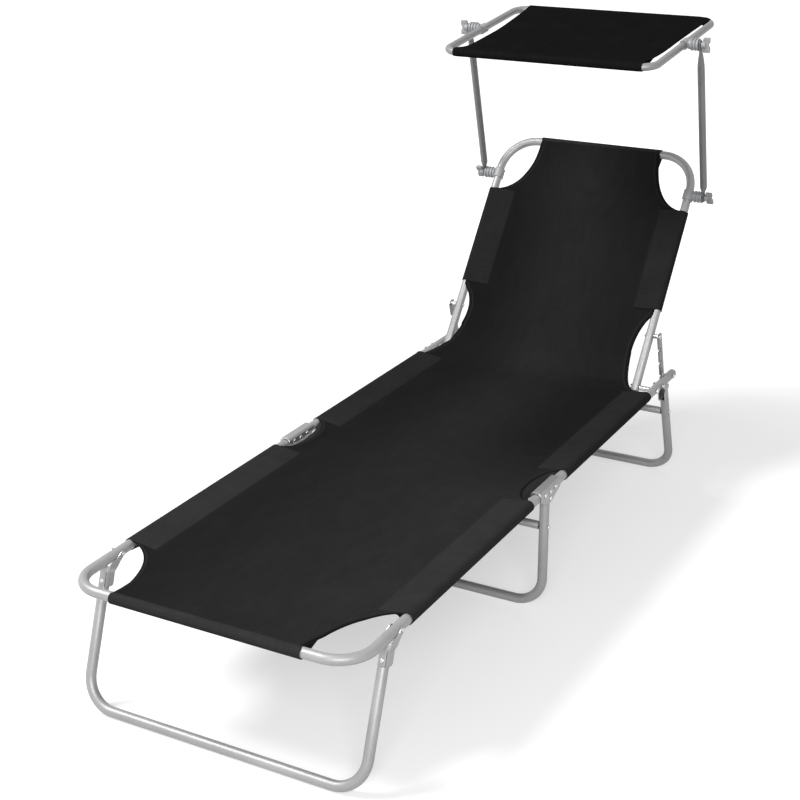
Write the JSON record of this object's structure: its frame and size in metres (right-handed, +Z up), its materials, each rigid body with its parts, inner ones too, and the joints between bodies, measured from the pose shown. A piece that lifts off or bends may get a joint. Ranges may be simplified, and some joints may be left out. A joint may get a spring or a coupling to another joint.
{
  "type": "sun lounger with canopy",
  "caption": "Folding sun lounger with steel tube legs, cloth slings, an adjustable backrest on notched struts, and a tilting canopy held by clamped arms.",
  "frame": {"origin": "on the floor under the middle of the whole lounger as it stands with its back and canopy up", "axes": "+X to the right seen from the foot end, +Y from the foot end to the head end, +Z up"},
  "size_m": [0.5906, 1.7124, 1.0148],
  "materials": {
    "frame_tube": "satin silver-grey powder coat",
    "bracket_steel": "bright zinc plate",
    "strut_steel": "zinc plate",
    "fastener": "bright zinc plate",
    "cloth": "matt close-woven polyester",
    "clamp_plastic": "moulded grey plastic",
    "end_cap": "moulded grey plastic"
  },
  "bodies": {
    "stand": {"stand_leg": "frame_tube", "stand_crossbar": "frame_tube", "saddle_bracket_left": "bracket_steel", "saddle_bracket_right": "bracket_steel", "foot_hinge_rivet_left": "fastener", "foot_hinge_rivet_right": "fastener", "seat_hinge_rivet_left": "fastener", "seat_hinge_rivet_right": "fastener", "stand_rivet_upper_left": "fastener", "stand_rivet_upper_right": "fastener", "stand_rivet_lower_left": "fastener", "stand_rivet_lower_right": "fastener", "stand_crossbar_rivet_left": "fastener", "stand_crossbar_rivet_right": "fastener"},
    "foot_section": {"foot_tube": "frame_tube", "sling_foot": "cloth", "foot_leg_pivot_rivet_left": "fastener", "foot_leg_pivot_rivet_right": "fastener"},
    "foot_leg": {"foot_leg_tube": "frame_tube", "foot_leg_bracket_left": "bracket_steel", "foot_leg_bracket_right": "bracket_steel"},
    "seat_section": {"sling_seat": "cloth", "sling_bend": "cloth", "seat_tube_left": "frame_tube", "seat_tube_right": "frame_tube", "seat_end_cap_left": "end_cap", "seat_end_cap_right": "end_cap", "back_pivot_bolt_left": "fastener", "back_pivot_bolt_right": "fastener", "strut_pin_left": "fastener", "strut_pin_right": "fastener", "rear_leg_pivot_rivet_left": "fastener", "rear_leg_pivot_rivet_right": "fastener"},
    "rear_leg": {"rear_leg_tube": "frame_tube", "rear_crossbar": "frame_tube", "rear_crossbar_rivet_left": "fastener", "rear_crossbar_rivet_right": "fastener", "rear_leg_bracket_left": "bracket_steel", "rear_leg_bracket_right": "bracket_steel"},
    "backrest": {"back_tube": "frame_tube", "sling_back": "cloth", "strut_rivet_left": "fastener", "strut_rivet_right": "fastener", "lower_clamp_left": "clamp_plastic", "lower_clamp_right": "clamp_plastic"},
    "strut_left": {"strut_left": "strut_steel"},
    "strut_right": {"strut_right": "strut_steel"},
    "canopy_arms": {"arm_left": "frame_tube", "arm_right": "frame_tube"},
    "canopy_clamps": {"upper_clamp_left": "clamp_plastic", "upper_clamp_right": "clamp_plastic"},
    "canopy": {"canopy_tube": "frame_tube", "canopy_cloth": "cloth"},
    "lower_knob_left": {"lower_knob_left": "clamp_plastic"},
    "lower_knob_right": {"lower_knob_right": "clamp_plastic"},
    "upper_knob_left": {"upper_knob_left": "clamp_plastic"},
    "upper_knob_right": {"upper_knob_right": "clamp_plastic"}
  },
  "joints": [
    {"name": "foot_fold", "type": "hinge", "parent": "stand", "child": "foot_section", "pos_m": [0, -0.1503, 0.25693], "axis": [-1, 0, 0], "range_deg": [-90, 0]},
    {"name": "seat_fold", "type": "hinge", "parent": "stand", "child": "seat_section", "pos_m": [0, -0.1013, 0.25693], "axis": [-1, 0, 0], "range_deg": [0, 90]},
    {"name": "foot_leg_fold", "type": "hinge", "parent": "foot_section", "child": "foot_leg", "pos_m": [0, -0.7118, 0.25493], "axis": [1, 0, 0], "range_deg": [0, 109]},
    {"name": "rear_leg_fold", "type": "hinge", "parent": "seat_section", "child": "rear_leg", "pos_m": [0, 0.5002, 0.25493], "axis": [-1, 0, 0], "range_deg": [0, 109]},
    {"name": "backrest_recline", "type": "hinge", "parent": "seat_section", "child": "backrest", "pos_m": [0, 0.4667, 0.25493], "axis": [1, 0, 0], "range_deg": [-52.5, 80], "deforming": ["sling_bend"]},
    {"name": "strut_left_swing", "type": "hinge", "parent": "backrest", "child": "strut_left", "pos_m": [-0.2605, 0.54167, 0.3537], "axis": [1, 0, 0], "range_deg": [-23.62, 36]},
    {"name": "strut_right_swing", "type": "hinge", "parent": "backrest", "child": "strut_right", "pos_m": [0.2605, 0.54167, 0.3537], "axis": [1, 0, 0], "range_deg": [-23.62, 36]},
    {"name": "arm_tilt", "type": "hinge", "parent": "backrest", "child": "canopy_arms", "pos_m": [0, 0.74935, 0.62731], "axis": [-1, 0, 0], "range_deg": [-45, 30]},
    {"name": "canopy_tilt", "type": "hinge", "parent": "canopy_arms", "child": "canopy_clamps", "pos_m": [0, 0.6542, 0.98393], "axis": [1, 0, 0], "range_deg": [-45, 45]},
    {"name": "canopy_slide", "type": "slide", "parent": "canopy_clamps", "child": "canopy", "axis": [0, 0.9938, 0.1115], "range_m": [-0.1, 0.1]},
    {"name": "lower_knob_left_turn", "type": "hinge", "parent": "backrest", "child": "lower_knob_left", "pos_m": [-0.285, 0.74935, 0.62731], "axis": [1, 0, 0], "continuous": true},
    {"name": "upper_knob_left_turn", "type": "hinge", "parent": "canopy_clamps", "child": "upper_knob_left", "pos_m": [-0.285, 0.6542, 0.98393], "axis": [1, 0, 0], "continuous": true},
    {"name": "lower_knob_right_turn", "type": "hinge", "parent": "backrest", "child": "lower_knob_right", "pos_m": [0.285, 0.74935, 0.62731], "axis": [1, 0, 0], "continuous": true},
    {"name": "upper_knob_right_turn", "type": "hinge", "parent": "canopy_clamps", "child": "upper_knob_right", "pos_m": [0.285, 0.6542, 0.98393], "axis": [1, 0, 0], "continuous": true}
  ],
  "couplings": [
    {"joint": "strut_left_swing", "follows": "backrest_recline", "ratio": 0.45},
    {"joint": "strut_right_swing", "follows": "backrest_recline", "ratio": 0.45}
  ]
}
